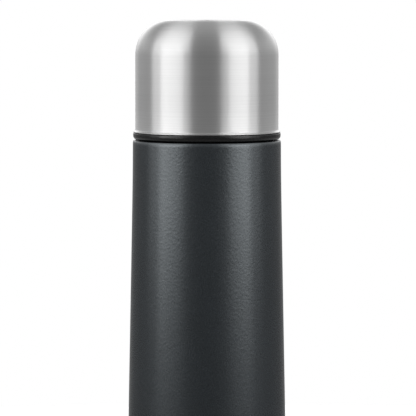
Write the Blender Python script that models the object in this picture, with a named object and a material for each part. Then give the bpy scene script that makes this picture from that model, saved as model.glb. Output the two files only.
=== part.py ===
"""A half-litre stainless vacuum flask with a drinking cup for a cap.

Everything is turned about the Z axis, which stands on the centre of the foot (Z = 0, up is +Z).
The flask is three assemblies:
  vessel   a double-walled steel bottle with its vacuum parts, foot cover and threaded neck collar
  stopper  a screw-in pouring stopper with a sprung button, its valve and a release latch
  cup      a brushed steel cup with a threaded liner, screwed over the stopper
Both threads are right-handed, with two starts and the same lead.
"""

import bmesh
import bpy
from math import cos, pi, radians, sin, sqrt

MM = 0.001

# Driving dimensions, in millimetres until they are scaled by MM when a mesh is made.
TOTAL_HEIGHT = 250.4
GAP = 0.3  # between parts that touch on the real flask
STEEL = 0.5  # sheet thickness of the pressed steel parts
LINER_STEEL = 0.4
SEGMENTS = 28  # round the large turned parts
SMALL_SEGMENTS = 16

# Body of the vessel: nearly straight under the shoulder, then a slight taper down to a wider foot.
SHOULDER_Z = 196.8
SHOULDER_RADIUS = 33.2
SHOULDER_CORNER = 1.5
TAPER = 0.0194  # radius gained for each millimetre down
TAPER_START_Z = 184.0
TAPER_EASE = 12.0
VACUUM_GAP = 2.4
FOOT_CORNER = 3.0
FOOT_INNER_RADIUS = 33.75
GETTER_PLACE = (18.0, 0.0)

# Neck and mouth.
NECK_RADIUS = 25.0
MOUTH_Z = 217.0
MOUTH_RADIUS = 22.4

# Collar on the shoulder, which carries the cup's thread.
COLLAR_RADIUS = 33.1
COLLAR_TOP_Z = 200.1
COLLAR_SLEEVE_RADIUS = 26.4
COLLAR_SLEEVE_TOP_Z = 213.6

# Cup.
CUP_RADIUS = 32.1
CUP_LIP_RADIUS = 33.1
CUP_LIP_Z = COLLAR_TOP_Z + GAP
CUP_CROWN_ACROSS = 14.1
CUP_CROWN_DOWN = 15.5
LINER_BORE = 28.2
LINER_WALL = 1.3
LINER_TOP_Z = 247.4
LINER_CROWN_ACROSS = 13.0
LINER_CROWN_DOWN = 16.0
CUP_GASKET_THICKNESS = 1.6

# Threads.
LEAD = 8.0
STARTS = 2
RIDGE_ROOT_WIDTH = 2.0
RIDGE_CREST_WIDTH = 1.0
RIDGE_TURNS = 0.8
NECK_THREAD_Z = 203.0
COLLAR_THREAD_Z = 203.6
THREAD_OFFSET = 1.6  # a tightened part's ridges lie this far under the ridges that hold it down
HELD_RISE = LEAD / STARTS - THREAD_OFFSET  # from a holding ridge up to the held ridge above it

# Stopper.
HOUSING_RADIUS = 20.7
HOUSING_BORE = 18.9
HOUSING_BOTTOM_Z = 189.5
HOUSING_FLOOR = 2.0
FLANGE_Z = 219.0
FLANGE_RADIUS = 25.0
FLANGE_THICKNESS = 1.8
CHANNEL_RADIUS = 9.0
CHANNEL_WALL = 1.4
GUIDE_Z = 214.0
GUIDE_THICKNESS = 1.6
COVER_RADIUS = 24.6
COVER_BORE = 23.0
COVER_TOP_Z = 233.0
DECK_THICKNESS = 1.6
BUTTON_RADIUS = 11.8
BUTTON_TOP_Z = 234.6
BUTTON_SKIRT_Z = 222.6
BUTTON_GUIDE_Z = 225.5
BUTTON_WALL = 1.4
BOSS_RADIUS = 4.1
BOSS_Z = 226.5
STEM_RADIUS = 2.6
STEM_TOP_Z = 231.5
HUB_TOP_Z = 216.2
HUB_RADIUS = 6.2
SPRING_RADIUS = 4.9
SPRING_WIRE_RADIUS = 0.45
SPRING_TURNS = 6
SPRING_POINTS = 10  # for each turn
PLUG_RADIUS = 10.9
PLUG_THICKNESS = 2.9
VALVE_SEAL_THICKNESS = 1.7
LATCH_THICKNESS = 1.8
LATCH_TRAVEL = 1.5
LATCH_ARM_HALF_WIDTH = 4.9


def body_radius(z):
    """Outer radius of the vessel at height z: straight above TAPER_START_Z, a cone below, blended."""
    below = TAPER_START_Z - z
    return SHOULDER_RADIUS + TAPER * (below + sqrt(below**2 + TAPER_EASE**2)) / 2


def clear_scene():
    for obj in list(bpy.data.objects):
        bpy.data.objects.remove(obj)


def make_material(name, colour, roughness, metallic):
    material = bpy.data.materials.new(name)
    material.use_nodes = True
    shader = material.node_tree.nodes["Principled BSDF"]
    shader.inputs["Base Color"].default_value = (*colour, 1.0)
    shader.inputs["Roughness"].default_value = roughness
    shader.inputs["Metallic"].default_value = metallic
    return material


def arc(centre_r, centre_z, across, down, start_deg, end_deg, steps):
    """Points along an ellipse in the radius-height plane, from one angle to another."""
    points = []
    for step in range(steps + 1):
        angle = radians(start_deg + (end_deg - start_deg) * step / steps)
        points.append((centre_r + across * cos(angle), centre_z + down * sin(angle)))
    return points


def ring_section(inner, outer, bottom, top):
    return [(inner, bottom), (outer, bottom), (outer, top), (inner, top)]


def finish(name, bm, material):
    """Turns a bmesh in millimetres into a named, smooth-shaded object in metres."""
    bmesh.ops.remove_doubles(bm, verts=bm.verts, dist=1e-4)
    bmesh.ops.dissolve_degenerate(bm, edges=bm.edges, dist=1e-5)
    bmesh.ops.recalc_face_normals(bm, faces=bm.faces)
    bmesh.ops.scale(bm, vec=(MM, MM, MM), verts=bm.verts)
    mesh = bpy.data.meshes.new(name)
    bm.to_mesh(mesh)
    bm.free()
    mesh.materials.append(material)
    mesh.shade_smooth()
    mesh.set_sharp_from_angle(angle=radians(35))
    obj = bpy.data.objects.new(name, mesh)
    bpy.context.scene.collection.objects.link(obj)
    return obj


def turned(name, outline, material, segments=SEGMENTS, at=(0.0, 0.0)):
    """A solid of revolution about a vertical axis. An outline that starts on the axis also ends there."""
    bm = bmesh.new()
    verts = [bm.verts.new((r, 0.0, z)) for r, z in outline]
    edges = [bm.edges.new(pair) for pair in zip(verts, verts[1:])]
    if outline[0][0] > 0.0:
        edges.append(bm.edges.new((verts[-1], verts[0])))
    bmesh.ops.spin(bm, geom=verts + edges, axis=(0, 0, 1), cent=(0, 0, 0), angle=2 * pi, steps=segments)
    bmesh.ops.translate(bm, vec=(at[0], at[1], 0.0), verts=bm.verts)
    return finish(name, bm, material)


def swept(name, sections, material):
    """A closed solid through a row of sections that all have the same number of points."""
    bm = bmesh.new()
    rows = [[bm.verts.new(point) for point in section] for section in sections]
    count = len(rows[0])
    for row, following in zip(rows, rows[1:]):
        for i in range(count):
            j = (i + 1) % count
            bm.faces.new((row[i], row[j], following[j], following[i]))
    bm.faces.new(rows[0])
    bm.faces.new(rows[-1])
    return finish(name, bm, material)


def sector(name, outline, start_deg, end_deg, steps, material):
    """An outline in the radius-height plane, turned through part of a circle."""
    sections = []
    for step in range(steps + 1):
        angle = radians(start_deg + (end_deg - start_deg) * step / steps)
        sections.append([(r * cos(angle), r * sin(angle), z) for r, z in outline])
    return swept(name, sections, material)


def block(name, low, high, material):
    corners = [(low[0], low[1]), (high[0], low[1]), (high[0], high[1]), (low[0], high[1])]
    sections = [[(x, y, z) for x, y in corners] for z in (low[2], high[2])]
    return swept(name, sections, material)


def ridge(name, radius, height, embed, first_z, start_deg, material):
    """One start of a thread: a trapezoid ridge on a helix. Height is negative on the inside of a bore."""
    steps = round(RIDGE_TURNS * SEGMENTS)
    side = 1 if height > 0 else -1
    sections = []
    for step in range(steps + 1):
        angle = radians(start_deg) + 2 * pi * step / SEGMENTS
        z = first_z + LEAD * step / SEGMENTS
        fade = min(1.0, step / 2, (steps - step) / 2)
        crest = radius + height * fade - side * 0.1 * (1 - fade)
        root = radius - side * embed
        profile = (
            (root, -RIDGE_ROOT_WIDTH / 2),
            (crest, -RIDGE_CREST_WIDTH / 2),
            (crest, RIDGE_CREST_WIDTH / 2),
            (root, RIDGE_ROOT_WIDTH / 2),
        )
        sections.append([(r * cos(angle), r * sin(angle), z + dz) for r, dz in profile])
    return swept(name, sections, material)


def apply_tool(obj, tool, operation):
    """Adds a Boolean to obj and marks its tool as a helper that isn't part of the flask."""
    tool.hide_render = True
    tool.display_type = "WIRE"
    modifier = obj.modifiers.new(tool.name, "BOOLEAN")
    modifier.operation = operation
    modifier.object = tool


def add_thread(obj, radius, height, embed, first_z, material):
    for start in range(STARTS):
        name = f"{obj.name}_thread_{start + 1}"
        tool = ridge(name, radius, height, embed, first_z, 360 * start / STARTS, material)
        apply_tool(obj, tool, "UNION")


def coil_spring(name, length, material):
    """A compression spring standing on the XY plane of its own object, as a bevelled curve."""
    curve = bpy.data.curves.new(name, "CURVE")
    curve.dimensions = "3D"
    curve.bevel_depth = SPRING_WIRE_RADIUS * MM
    curve.bevel_resolution = 1
    curve.use_fill_caps = True
    curve.materials.append(material)
    spline = curve.splines.new("POLY")
    count = SPRING_TURNS * SPRING_POINTS + 1
    spline.points.add(count - 1)
    rise = length - 2 * SPRING_WIRE_RADIUS
    for i, point in enumerate(spline.points):
        angle = 2 * pi * i / SPRING_POINTS
        x = SPRING_RADIUS * cos(angle)
        y = SPRING_RADIUS * sin(angle)
        z = SPRING_WIRE_RADIUS + rise * i / (count - 1)
        point.co = (x * MM, y * MM, z * MM, 1.0)
    obj = bpy.data.objects.new(name, curve)
    bpy.context.scene.collection.objects.link(obj)
    return obj


# Vessel -------------------------------------------------------------------------------------------


def body_line(heights, inset):
    """Points down the vessel's side, moved in from its outer surface."""
    return [(body_radius(z) - inset, z) for z in heights]


def build_outer_shell(coat):
    """Powder-coated steel shell: neck, flat shoulder with a rolled corner, tapered side, turned-in foot."""
    heights = [SHOULDER_Z - SHOULDER_CORNER, 186.0, 174.0, 158.0, 6.6]
    corner_r = body_radius(heights[0]) - SHOULDER_CORNER
    foot_z = STEEL + FOOT_CORNER
    neck_top = MOUTH_Z - LINER_STEEL - GAP
    outside = [
        (NECK_RADIUS, neck_top),
        (NECK_RADIUS, SHOULDER_Z + 1.0),
        (NECK_RADIUS + 1.0, SHOULDER_Z),
        *arc(corner_r, heights[0], SHOULDER_CORNER, SHOULDER_CORNER, 90, 0, 3),
        *body_line(heights[1:], 0.0),
        *arc(FOOT_INNER_RADIUS, foot_z, FOOT_CORNER, FOOT_CORNER, 0, -90, 3),
    ]
    inner_corner = SHOULDER_CORNER - STEEL
    inside = [
        *arc(FOOT_INNER_RADIUS, foot_z, FOOT_CORNER - STEEL, FOOT_CORNER - STEEL, -90, 0, 2),
        *body_line(reversed(heights[1:]), STEEL),
        *arc(corner_r, heights[0], inner_corner, inner_corner, 0, 90, 2),
        (NECK_RADIUS - STEEL, SHOULDER_Z - STEEL),
        (NECK_RADIUS - STEEL, neck_top),
    ]
    return turned("outer_shell", outside + inside, coat)


def build_inner_flask(steel):
    """Steel liner that holds the drink, with the stopper's thread rolled into its neck."""
    inset = STEEL + VACUUM_GAP
    heights = [187.5, 174.0, 158.0, 22.0]
    neck_outer = MOUTH_RADIUS + LINER_STEEL
    bottom_z = 13.4
    corner = 7.0

    def bowl(extra):
        """Shoulder, side and dished bottom, moved in from the liner's outer surface."""
        side = body_line(heights, inset + extra)
        side_bottom = body_radius(heights[-1]) - inset
        return [
            (neck_outer - extra, 196.0 - extra),
            (neck_outer + 1.2 - extra, 194.2 - extra),
            (28.2 - extra, 192.4 - extra),
            *side,
            *arc(side_bottom - corner, bottom_z + corner, corner - extra, corner - extra, 0, -90, 3),
            (0.0, bottom_z + 1.2 + extra),
        ]

    outline = [
        *reversed(bowl(LINER_STEEL)),
        (MOUTH_RADIUS, MOUTH_Z),
        (NECK_RADIUS, MOUTH_Z),
        (NECK_RADIUS, MOUTH_Z - LINER_STEEL),
        (neck_outer, MOUTH_Z - LINER_STEEL),
        *bowl(0.0),
    ]
    flask = turned("inner_flask", outline, steel)
    add_thread(flask, MOUTH_RADIUS, -1.1, 0.25, NECK_THREAD_Z, steel)
    return flask


def build_copper_foil(copper):
    """Heat-reflecting foil wrapped round the liner in the vacuum, with an open seam."""
    near, far = STEEL + VACUUM_GAP - 0.6, STEEL + VACUUM_GAP - 0.8
    heights = [184.0, 170.0, 26.0]
    outline = body_line(heights, far) + body_line(reversed(heights), near)
    return sector("copper_foil", outline, 2, 358, SEGMENTS, copper)


def build_vacuum_base(steel):
    """Pressed disc that closes the vacuum, dimpled round the hole that the air was drawn out of."""
    rim = body_radius(13.0) - STEEL - GAP
    outline = [
        (rim, 13.0),
        (rim, 9.6),
        (rim - 1.8, 7.6),
        (7.0, 7.6),
        (5.6, 9.0),
        (1.0, 9.0),
        (1.0, 9.6),
        (5.9, 9.6),
        (7.4, 8.2),
        (rim - 2.1, 8.2),
        (rim - STEEL, 9.8),
        (rim - STEEL, 13.0),
    ]
    return turned("vacuum_base", outline, steel)


def build_port_seal(glass):
    """Bead of solder glass that plugs the evacuation hole, in the dimple under the vacuum base."""
    outline = [(0.0, 8.7), (3.6, 8.7), (4.5, 8.2), (3.8, 7.8), (2.0, 7.5), (0.0, 7.4)]
    return turned("port_seal", outline, glass, SMALL_SEGMENTS)


def build_getter(getter_alloy):
    """Pellet that soaks up stray gas in the vacuum."""
    outline = [(0.0, 10.8), (3.2, 10.8), (3.8, 10.3), (3.8, 8.9), (3.2, 8.5), (0.0, 8.5)]
    return turned("getter", outline, getter_alloy, SMALL_SEGMENTS, GETTER_PLACE)


def build_getter_holder(steel):
    """Flanged ring round the getter, spot-welded to the vacuum base."""
    outline = [(4.1, 10.9), (4.1, 8.5), (6.0, 8.5), (6.0, 9.0), (4.7, 9.0), (4.7, 10.9)]
    return turned("getter_holder", outline, steel, SMALL_SEGMENTS, GETTER_PLACE)


def build_base_cover(steel):
    """Pressed steel foot cover: a flat standing ring round a raised centre."""
    rim = FOOT_INNER_RADIUS - 0.4
    outline = [
        (0.0, 2.6),
        (26.6, 2.6),
        (28.4, 0.0),
        (32.2, 0.0),
        (rim, 1.0),
        (rim, 4.6),
        (rim - STEEL, 4.6),
        (rim - STEEL, 1.3),
        (31.9, STEEL),
        (28.8, STEEL),
        (27.0, 2.6 + STEEL),
        (0.0, 2.6 + STEEL),
    ]
    return turned("base_cover", outline, steel)


def build_neck_collar(plastic):
    """Black ring seen under the cup, with a sleeve round the neck that carries the cup's thread."""
    bottom = SHOULDER_Z + GAP
    bore = NECK_RADIUS + GAP
    outline = [
        (bore, COLLAR_SLEEVE_TOP_Z),
        (COLLAR_SLEEVE_RADIUS, COLLAR_SLEEVE_TOP_Z),
        (COLLAR_SLEEVE_RADIUS, COLLAR_TOP_Z),
        (COLLAR_RADIUS - 0.3, COLLAR_TOP_Z),
        (COLLAR_RADIUS, COLLAR_TOP_Z - 0.3),
        (COLLAR_RADIUS, bottom + 1.7),
        (COLLAR_RADIUS - 0.5, bottom + 0.7),
        (COLLAR_RADIUS - 1.5, bottom),
        (bore + 1.1, bottom),
        (bore, bottom + 1.1),
    ]
    collar = turned("neck_collar", outline, plastic)
    add_thread(collar, COLLAR_SLEEVE_RADIUS, 1.2, 0.5, COLLAR_THREAD_Z, plastic)
    return collar


# Cup ----------------------------------------------------------------------------------------------


def build_cup_shell(steel):
    """Brushed steel cup, upside down on the flask, with a domed crown and a rolled lip."""
    crown_r = CUP_RADIUS - CUP_CROWN_ACROSS
    crown_z = TOTAL_HEIGHT - CUP_CROWN_DOWN
    inner = CUP_RADIUS - STEEL
    outline = [
        (0.0, TOTAL_HEIGHT),
        *arc(crown_r, crown_z, CUP_CROWN_ACROSS, CUP_CROWN_DOWN, 90, 0, 6),
        (CUP_RADIUS, CUP_LIP_Z + 1.4),
        (CUP_LIP_RADIUS, CUP_LIP_Z + 0.6),
        (CUP_LIP_RADIUS, CUP_LIP_Z),
        (inner, CUP_LIP_Z),
        *arc(crown_r, crown_z, CUP_CROWN_ACROSS - STEEL, CUP_CROWN_DOWN - STEEL, 0, 90, 5),
        (0.0, TOTAL_HEIGHT - STEEL),
    ]
    return turned("cup_shell", outline, steel)


def build_cup_liner(plastic):
    """Moulded liner inside the cup, with the thread that grips the collar."""
    outer = LINER_BORE + LINER_WALL
    flange = CUP_RADIUS - STEEL - GAP
    bottom = CUP_LIP_Z + CUP_GASKET_THICKNESS + GAP
    crown_r = outer - LINER_CROWN_ACROSS
    crown_z = LINER_TOP_Z - LINER_CROWN_DOWN
    across, down = LINER_CROWN_ACROSS - LINER_WALL, LINER_CROWN_DOWN - LINER_WALL
    outline = [
        (0.0, LINER_TOP_Z),
        *arc(crown_r, crown_z, LINER_CROWN_ACROSS, LINER_CROWN_DOWN, 90, 0, 5),
        (outer, bottom + 1.3),
        (flange, bottom + 1.3),
        (flange, bottom),
        (LINER_BORE, bottom),
        *arc(crown_r, crown_z, across, down, 0, 90, 4),
        (0.0, LINER_TOP_Z - LINER_WALL),
    ]
    liner = turned("cup_liner", outline, plastic)
    add_thread(liner, LINER_BORE, -1.2, 0.5, COLLAR_THREAD_Z + HELD_RISE, plastic)
    return liner


def build_cup_gasket(silicone):
    """Flat seal under the liner's flange, which the tightened cup presses on the collar."""
    outer = CUP_RADIUS - STEEL - GAP
    inner = LINER_BORE + GAP
    top = CUP_LIP_Z + CUP_GASKET_THICKNESS
    outline = [(inner, top), (outer, top), (outer, CUP_LIP_Z), (inner, CUP_LIP_Z)]
    return turned("cup_gasket", outline, silicone)


# Stopper ------------------------------------------------------------------------------------------


def build_stopper_housing(plastic):
    """Threaded plug: outer wall, floor and pouring tube in one moulding, with a flange over the mouth."""
    floor = HOUSING_BOTTOM_Z + HOUSING_FLOOR
    tube = CHANNEL_RADIUS + CHANNEL_WALL
    flange_top = FLANGE_Z + FLANGE_THICKNESS
    outline = [
        (CHANNEL_RADIUS, GUIDE_Z - GAP),
        (CHANNEL_RADIUS, HOUSING_BOTTOM_Z),
        (HOUSING_RADIUS - 1.2, HOUSING_BOTTOM_Z),
        (HOUSING_RADIUS, HOUSING_BOTTOM_Z + 1.2),
        (HOUSING_RADIUS, FLANGE_Z),
        (FLANGE_RADIUS, FLANGE_Z),
        (FLANGE_RADIUS, flange_top),
        (HOUSING_BORE, flange_top),
        (HOUSING_BORE, floor),
        (tube, floor),
        (tube, GUIDE_Z - GAP),
    ]
    housing = turned("stopper_housing", outline, plastic)
    add_thread(housing, HOUSING_RADIUS, 1.2, 0.5, NECK_THREAD_Z + HELD_RISE, plastic)
    return housing


def build_insulation_ring(foam):
    """Foam round the pouring tube, which keeps the heat in where the wall has no vacuum."""
    inner = CHANNEL_RADIUS + CHANNEL_WALL + GAP
    outer = HOUSING_BORE - GAP
    bottom = HOUSING_BOTTOM_Z + HOUSING_FLOOR + GAP
    top = GUIDE_Z - GAP
    outline = [(inner, top), (inner, bottom), (outer, bottom), (outer, top)]
    return turned("insulation_ring", outline, foam)


def build_stopper_gasket(silicone):
    """Seal between the flask's rim and the stopper's flange."""
    bottom, top = MOUTH_Z + GAP, FLANGE_Z - GAP
    inner, outer = HOUSING_RADIUS + GAP, FLANGE_RADIUS - 0.3
    middle = (bottom + top) / 2
    outline = [(inner, top), (inner, bottom), (outer - 0.3, bottom), (outer, middle), (outer - 0.3, top)]
    return turned("stopper_gasket", outline, silicone)


def build_stem_guide(plastic):
    """Lid of the housing: a hub for the valve stem and spring, with windows over the pouring tube."""
    top = GUIDE_Z + GUIDE_THICKNESS
    hub = STEM_RADIUS + GAP
    rim = HOUSING_BORE - GAP
    outline = [
        (hub, HUB_TOP_Z),
        (hub, GUIDE_Z),
        (rim, GUIDE_Z),
        (rim, top),
        (HUB_RADIUS, top),
        (HUB_RADIUS, HUB_TOP_Z),
    ]
    guide = turned("stem_guide", outline, plastic)
    window = ring_section(HUB_RADIUS, CHANNEL_RADIUS, GUIDE_Z - 1, top + 1)
    for quarter in range(4):
        middle = 45 + 90 * quarter
        tool = sector(f"stem_guide_window_{quarter + 1}", window, middle - 33, middle + 33, 5, plastic)
        apply_tool(guide, tool, "DIFFERENCE")
    return guide


def build_stopper_cover(plastic):
    """Grip cap over the flange: a deck with the button's guide tube, pouring slot and air slot."""
    bottom = FLANGE_Z + FLANGE_THICKNESS + GAP
    deck = COVER_TOP_Z - DECK_THICKNESS
    bore = BUTTON_RADIUS + GAP
    outline = [
        (bore, COVER_TOP_Z),
        (bore, BUTTON_GUIDE_Z),
        (bore + 1.2, BUTTON_GUIDE_Z),
        (bore + 1.2, deck),
        (COVER_BORE, deck),
        (COVER_BORE, bottom),
        (COVER_RADIUS, bottom),
        (COVER_RADIUS, COVER_TOP_Z - 1.0),
        (COVER_RADIUS - 1.0, COVER_TOP_Z),
    ]
    cover = turned("stopper_cover", outline, plastic)
    slot = ring_section(bore + 2.6, COVER_BORE - 1.2, deck - 1, COVER_TOP_Z + 1)
    pouring = sector("stopper_cover_pouring_slot", slot, 180 - 40, 180 + 40, 8, plastic)
    apply_tool(cover, pouring, "DIFFERENCE")
    air = sector("stopper_cover_air_slot", slot, -14, 14, 3, plastic)
    apply_tool(cover, air, "DIFFERENCE")
    side = LATCH_ARM_HALF_WIDTH + GAP
    notch_top = bottom + LATCH_THICKNESS + 2 * GAP
    notch_low = (COVER_BORE - 2, -side, bottom - 1)
    notch_high = (COVER_RADIUS + 2, side, notch_top)
    notch = block("stopper_cover_notch", notch_low, notch_high, plastic)
    apply_tool(cover, notch, "DIFFERENCE")
    return cover


def build_latch_slider(plastic):
    """Release latch: a ring round the button's skirt, with a thumb pad at +X and a spring tongue at -X.

    The ring is set off towards +X by half its travel, so that it clears the skirt over the whole slide.
    """
    bottom = FLANGE_Z + FLANGE_THICKNESS + GAP
    top = bottom + LATCH_THICKNESS
    offset = LATCH_TRAVEL / 2
    bore = BUTTON_RADIUS + GAP + offset
    outline = [(bore, top), (bore, bottom), (bore + 2.6, bottom), (bore + 2.6, top)]
    slider = turned("latch_slider", outline, plastic, at=(offset, 0.0))
    half = LATCH_ARM_HALF_WIDTH
    arm_low = (offset + bore + 1.3, -half, bottom)
    arm = block("latch_slider_arm", arm_low, (COVER_RADIUS + 1.2, half, top), plastic)
    apply_tool(slider, arm, "UNION")
    tongue_end = -(COVER_BORE - LATCH_TRAVEL - 2 * GAP)
    tongue_high = (offset - bore - 1.3, 2.4, top)
    tongue = block("latch_slider_tongue", (tongue_end, -2.4, bottom), tongue_high, plastic)
    apply_tool(slider, tongue, "UNION")
    return slider


def build_pour_button(plastic):
    """Push button: a capped skirt that slides in the cover, with a boss that holds the stem's top."""
    roof = BUTTON_TOP_Z - BUTTON_WALL
    inner = BUTTON_RADIUS - BUTTON_WALL
    outline = [
        (0.0, BUTTON_TOP_Z - 0.6),
        (BUTTON_RADIUS - 3.0, BUTTON_TOP_Z - 0.4),
        (BUTTON_RADIUS - 1.0, BUTTON_TOP_Z),
        (BUTTON_RADIUS, BUTTON_TOP_Z - 1.0),
        (BUTTON_RADIUS, BUTTON_SKIRT_Z),
        (inner, BUTTON_SKIRT_Z),
        (inner, roof - 0.6),
        (BOSS_RADIUS, roof - 0.6),
        (BOSS_RADIUS, BOSS_Z),
        (STEM_RADIUS + GAP, BOSS_Z),
        (STEM_RADIUS + GAP, STEM_TOP_Z + GAP),
        (0.0, STEM_TOP_Z + GAP),
    ]
    return turned("pour_button", outline, plastic)


def build_valve(steel, plastic, silicone):
    """Stem with a foot, the plug that stands on the foot, and the seal that closes the pouring tube."""
    seal_top = HOUSING_BOTTOM_Z - GAP
    plug_top = seal_top - VALVE_SEAL_THICKNESS - GAP
    foot_top = plug_top - PLUG_THICKNESS - GAP
    foot_bottom = foot_top - 1.6
    stem = [
        (0.0, STEM_TOP_Z),
        (STEM_RADIUS - 0.4, STEM_TOP_Z),
        (STEM_RADIUS, STEM_TOP_Z - 0.4),
        (STEM_RADIUS, foot_top),
        (STEM_RADIUS + 2.0, foot_top),
        (STEM_RADIUS + 2.0, foot_bottom + 0.5),
        (STEM_RADIUS + 1.5, foot_bottom),
        (0.0, foot_bottom),
    ]
    bore = STEM_RADIUS + GAP
    low = plug_top - PLUG_THICKNESS
    plug = [
        (bore, plug_top),
        (bore, low),
        (PLUG_RADIUS - 3.0, low),
        (PLUG_RADIUS, low + 1.6),
        (PLUG_RADIUS, plug_top),
    ]
    seal_edge = PLUG_RADIUS - 0.3
    seal_bottom = plug_top + GAP
    seal = [
        (bore, seal_top),
        (bore, seal_bottom),
        (seal_edge, seal_bottom),
        (seal_edge, seal_top - 0.4),
        (seal_edge - 0.4, seal_top),
    ]
    return [
        turned("valve_stem", stem, steel, SMALL_SEGMENTS),
        turned("valve_plug", plug, plastic),
        turned("valve_seal", seal, silicone),
    ]


def build_button_spring(steel):
    """Spring round the stem, from the guide's hub up to the underside of the button."""
    bottom = HUB_TOP_Z + GAP
    length = BUTTON_TOP_Z - BUTTON_WALL - 0.6 - GAP - bottom
    spring = coil_spring("button_spring", length, steel)
    spring.location.z = bottom * MM
    return spring


# Assemblies ---------------------------------------------------------------------------------------


def assembly(name, parts):
    """Hangs an assembly's parts on an empty that stands on the flask's axis."""
    empty = bpy.data.objects.new(name, None)
    empty.empty_display_size = 20 * MM
    bpy.context.scene.collection.objects.link(empty)
    for part in parts:
        part.parent = empty


def main():
    clear_scene()
    coat = make_material("powder_coat", (0.05, 0.055, 0.065), 0.5, 0.4)
    brushed = make_material("brushed_steel", (0.62, 0.61, 0.59), 0.28, 1.0)
    bright = make_material("bright_steel", (0.66, 0.65, 0.63), 0.2, 1.0)
    copper = make_material("copper", (0.72, 0.36, 0.22), 0.25, 1.0)
    solder_glass = make_material("solder_glass", (0.10, 0.12, 0.10), 0.3, 0.0)
    getter_alloy = make_material("getter_alloy", (0.18, 0.17, 0.16), 0.7, 0.6)
    black = make_material("black_plastic", (0.02, 0.02, 0.022), 0.35, 0.0)
    grey = make_material("grey_plastic", (0.10, 0.10, 0.11), 0.45, 0.0)
    accent = make_material("button_plastic", (0.25, 0.26, 0.28), 0.4, 0.0)
    foam = make_material("white_foam", (0.80, 0.80, 0.76), 0.9, 0.0)
    silicone = make_material("clear_silicone", (0.70, 0.71, 0.70), 0.5, 0.0)

    assembly(
        "vessel",
        [
            build_outer_shell(coat),
            build_inner_flask(bright),
            build_copper_foil(copper),
            build_vacuum_base(bright),
            build_port_seal(solder_glass),
            build_getter(getter_alloy),
            build_getter_holder(bright),
            build_base_cover(brushed),
            build_neck_collar(black),
        ],
    )
    assembly(
        "stopper",
        [
            build_stopper_housing(black),
            build_insulation_ring(foam),
            build_stopper_gasket(silicone),
            build_stem_guide(grey),
            build_stopper_cover(black),
            build_latch_slider(accent),
            build_pour_button(accent),
            *build_valve(bright, grey, silicone),
            build_button_spring(bright),
        ],
    )
    assembly(
        "cup",
        [
            build_cup_shell(brushed),
            build_cup_liner(black),
            build_cup_gasket(silicone),
        ],
    )


main()
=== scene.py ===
from math import acos, copysign, cos, hypot, pi, radians, sin, sqrt, tan

import bmesh
import bpy
import numpy as np
from mathutils import Matrix, Quaternion, Vector


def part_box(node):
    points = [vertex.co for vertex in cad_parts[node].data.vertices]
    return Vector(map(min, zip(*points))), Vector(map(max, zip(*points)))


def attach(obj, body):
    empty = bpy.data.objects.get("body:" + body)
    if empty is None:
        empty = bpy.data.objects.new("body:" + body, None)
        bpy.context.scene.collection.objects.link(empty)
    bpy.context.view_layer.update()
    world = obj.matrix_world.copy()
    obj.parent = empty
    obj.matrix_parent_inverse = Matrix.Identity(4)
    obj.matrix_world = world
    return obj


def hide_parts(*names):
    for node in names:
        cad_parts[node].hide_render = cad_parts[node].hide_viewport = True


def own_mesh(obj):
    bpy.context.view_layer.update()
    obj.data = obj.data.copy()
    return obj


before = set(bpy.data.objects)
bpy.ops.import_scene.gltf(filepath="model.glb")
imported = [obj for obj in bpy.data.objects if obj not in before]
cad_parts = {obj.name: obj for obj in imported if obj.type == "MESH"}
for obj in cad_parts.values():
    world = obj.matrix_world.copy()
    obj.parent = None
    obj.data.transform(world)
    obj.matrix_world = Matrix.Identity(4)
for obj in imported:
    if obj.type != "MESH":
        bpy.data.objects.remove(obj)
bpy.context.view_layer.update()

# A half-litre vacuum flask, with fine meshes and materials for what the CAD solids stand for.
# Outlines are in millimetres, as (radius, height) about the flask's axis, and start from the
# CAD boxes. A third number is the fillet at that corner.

MM = 0.001
AROUND = 168  # segments round the large turned pieces
SUPPORT = 0.15  # length of the short faces that keep a rounded corner's shading to itself
SHARP = radians(38)  # edges that turn by more than this are shaded sharp
CUT_PAST = 1.0  # how far a cutting prism runs past the faces that it cuts


def low(node):
    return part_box(node)[0].z / MM


def high(node):
    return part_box(node)[1].z / MM


def radius(node):
    """Outer radius of a turned CAD node about the flask's axis."""
    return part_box(node)[1].x / MM


def bore_of(node):
    """Smallest radius of a turned CAD node."""
    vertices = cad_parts[node].data.vertices
    places = np.empty(len(vertices) * 3)
    vertices.foreach_get("co", places)
    places = places.reshape(-1, 3)
    return float(np.hypot(places[:, 0], places[:, 1]).min()) / MM


# Sizes that the pieces share.
GAP = 0.3  # between neighbouring pieces
STEEL = 0.5
LINER_STEEL = 0.4
TOTAL = high("cup_shell")
LIP_Z = low("cup_shell")
LIP_R = radius("cup_shell")
CUP_R = LIP_R - 1.0
LINER_BORE = 28.2
COLLAR_R = radius("neck_collar")
COLLAR_LOW = low("neck_collar")
COLLAR_HIGH = LIP_Z - GAP
SLEEVE_TOP = high("neck_collar")
SLEEVE_R = 26.4
MOUTH_Z = high("inner_flask")
MOUTH_R = 22.4
NECK_R = 25.0
HOUSING_R = 20.7
HOUSING_BORE = 18.9
TUBE_R = 9.0
COVER_R = radius("stopper_cover")
COVER_TOP = high("stopper_cover")
BUTTON_R = radius("pour_button")
BUTTON_TOP = high("pour_button")
LATCH_TRAVEL = 1.5
LATCH_HALF = 4.9  # half the width of the latch's arm
STEM_R = 2.6

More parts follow.
